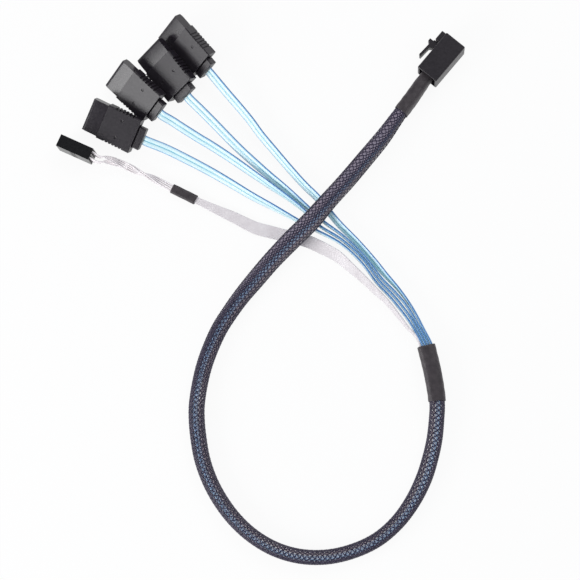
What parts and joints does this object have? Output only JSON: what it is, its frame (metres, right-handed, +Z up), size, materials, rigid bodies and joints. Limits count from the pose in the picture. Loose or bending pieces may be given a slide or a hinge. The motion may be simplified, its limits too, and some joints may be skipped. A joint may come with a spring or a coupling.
{
  "type": "mini sas breakout cable",
  "caption": "Breakout cable with a latching square multi-lane plug, braided sleeve, blue data ribbons to straight drive plugs and a white sideband ribbon to a pin header socket.",
  "frame": {"origin": "on the table, under the middle of the box around the connectors", "axes": "+X from the pin header socket towards the square plug, +Z up from the table, the sleeve's loop towards -Y"},
  "size_m": [0.1648, 0.2214, 0.0134],
  "materials": {
    "connector_plastic": "satin black moulded plastic",
    "header_plastic": "glossy black moulded plastic",
    "circuit_board": "green solder mask",
    "contact_metal": "gold plated contacts",
    "heat_shrink": "dull dark heat-shrink tube",
    "braid": "braided dark monofilament",
    "blue_ribbon": "clear pale blue jacket over foil",
    "white_insulation": "white insulation"
  },
  "bodies": {
    "cable": {"hd_housing": "connector_plastic", "hd_card_holder": "connector_plastic", "hd_paddle_card_1": "circuit_board", "hd_paddle_card_2": "circuit_board", "sata_1_housing": "connector_plastic", "sata_1_contact_wafer": "contact_metal", "sata_1_strain_relief": "connector_plastic", "sata_2_housing": "connector_plastic", "sata_2_contact_wafer": "contact_metal", "sata_2_strain_relief": "connector_plastic", "sata_3_housing": "connector_plastic", "sata_3_contact_wafer": "contact_metal", "sata_3_strain_relief": "connector_plastic", "sata_4_housing": "connector_plastic", "sata_4_contact_wafer": "contact_metal", "sata_4_strain_relief": "connector_plastic", "header_housing": "header_plastic", "header_terminal_1": "contact_metal", "header_terminal_2": "contact_metal", "header_terminal_3": "contact_metal", "header_terminal_4": "contact_metal", "header_terminal_5": "contact_metal", "header_terminal_6": "contact_metal", "header_terminal_7": "contact_metal", "header_terminal_8": "contact_metal", "neck_heat_shrink": "heat_shrink", "braided_sleeve": "braid", "collar_heat_shrink": "heat_shrink", "sata_ribbon_1": "blue_ribbon", "sata_ribbon_2": "blue_ribbon", "sata_ribbon_3": "blue_ribbon", "sata_ribbon_4": "blue_ribbon", "sideband_ribbon": "white_insulation", "split_heat_shrink": "heat_shrink", "sideband_wire_1": "white_insulation", "sideband_wire_2": "white_insulation", "sideband_wire_3": "white_insulation", "sideband_wire_4": "white_insulation", "sideband_wire_5": "white_insulation", "sideband_wire_6": "white_insulation", "sideband_wire_7": "white_insulation", "sideband_wire_8": "white_insulation"},
    "latch": {"hd_latch_lever": "connector_plastic"}
  },
  "joints": [
    {"name": "latch_press", "type": "hinge", "parent": "cable", "child": "latch", "pos_m": [0.0716, 0.0168, 0.00575], "axis": [0, 0, 1], "range_deg": [0, 6], "stiffness_Nm_per_rad": 0.02}
  ]
}
